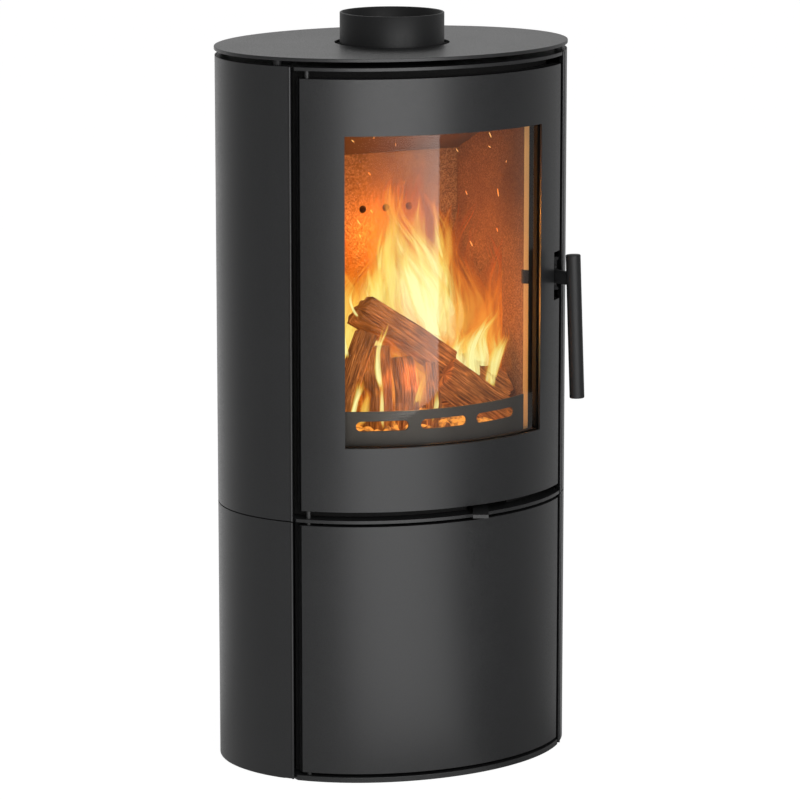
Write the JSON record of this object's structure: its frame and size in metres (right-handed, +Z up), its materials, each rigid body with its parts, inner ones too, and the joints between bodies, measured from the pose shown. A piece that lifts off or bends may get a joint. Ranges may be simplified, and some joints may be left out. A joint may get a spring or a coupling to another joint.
{
  "type": "wood stove",
  "caption": "Free-standing oval steel wood stove with a curved glass fire door, a storage compartment below it and a flue collar on top.",
  "frame": {"origin": "on the floor under the middle of the oval base plate", "axes": "+Z up, the doors face -Y, +X to the viewer's right when facing the doors"},
  "size_m": [0.5276, 0.4582, 1.082],
  "materials": {
    "satin_black": "satin black high-temperature paint with a fine grain",
    "dark_steel": "matt black paint",
    "cast_iron": "rough casting, sooted",
    "vermiculite": "pressed vermiculite board, speckled and matt",
    "rope_fibre": "braided glass fibre",
    "zinc_steel": "dull zinc-plated steel",
    "door_glass": "clear heat-proof ceramic glass"
  },
  "bodies": {
    "casing": {"base_plate": "dark_steel", "shelf_plate": "satin_black", "head_plate": "satin_black", "top_plate": "satin_black", "top_spacer_1": "zinc_steel", "top_spacer_2": "zinc_steel", "top_spacer_3": "zinc_steel", "top_spacer_4": "zinc_steel", "flue_collar": "satin_black", "side_panel_lower_left": "satin_black", "side_panel_upper_left": "satin_black", "side_panel_lower_right": "satin_black", "side_panel_upper_right": "satin_black", "rear_panel_lower": "dark_steel", "rear_panel_upper": "dark_steel", "firebox_walls": "dark_steel", "firebox_front": "dark_steel", "ash_floor": "dark_steel", "hearth_shelf": "dark_steel", "ash_pan": "zinc_steel", "ash_pan_lip": "zinc_steel", "grate": "cast_iron", "hearth_slab_left": "vermiculite", "hearth_slab_right": "vermiculite", "lining_left": "vermiculite", "lining_right": "vermiculite", "lining_back": "vermiculite", "baffle_lower": "vermiculite", "baffle_upper": "cast_iron", "baffle_rail_left": "dark_steel", "baffle_rail_right": "dark_steel", "log_guard": "cast_iron", "heat_shield": "zinc_steel", "air_lever_pivot": "zinc_steel", "air_box": "dark_steel", "air_spigot": "zinc_steel", "latch_catch": "dark_steel", "storage_walls": "dark_steel", "push_latch_body": "dark_steel"},
    "fire_door": {"fire_door_panel": "satin_black", "glass_gasket": "rope_fibre", "door_glass": "door_glass", "glass_retainer": "dark_steel", "door_inner_frame": "dark_steel", "door_rope_seal": "rope_fibre", "fire_door_pin_lower": "zinc_steel", "fire_door_pin_upper": "zinc_steel", "latch_bracket": "dark_steel", "latch_pin": "zinc_steel"},
    "handle": {"handle_hook": "satin_black", "handle_grip": "satin_black"},
    "storage_door": {"storage_door": "satin_black", "storage_door_pin_lower": "zinc_steel", "storage_door_pin_upper": "zinc_steel", "storage_strike": "zinc_steel"},
    "air_lever": {"air_lever": "satin_black"},
    "push_plunger": {"push_latch_plunger": "zinc_steel"}
  },
  "joints": [
    {"name": "fire_door_hinge", "type": "hinge", "parent": "casing", "child": "fire_door", "pos_m": [-0.1949, -0.12697, 0.703], "axis": [0, 0, -1], "range_deg": [0, 110]},
    {"name": "handle_turn", "type": "hinge", "parent": "fire_door", "child": "handle", "pos_m": [0.1955, -0.128, 0.704], "axis": [0, 0, 1], "range_deg": [-9, 12]},
    {"name": "storage_door_hinge", "type": "hinge", "parent": "casing", "child": "storage_door", "pos_m": [-0.1949, -0.12697, 0.194], "axis": [0, 0, -1], "range_deg": [0, 110]},
    {"name": "air_control", "type": "hinge", "parent": "casing", "child": "air_lever", "pos_m": [0.068, -0.148, 0.387], "axis": [0, 0, 1], "range_deg": [-3, 54]},
    {"name": "push_latch", "type": "slide", "parent": "casing", "child": "push_plunger", "axis": [0, 1, 0], "range_m": [0, 0.003], "stiffness_N_per_m": 150}
  ]
}
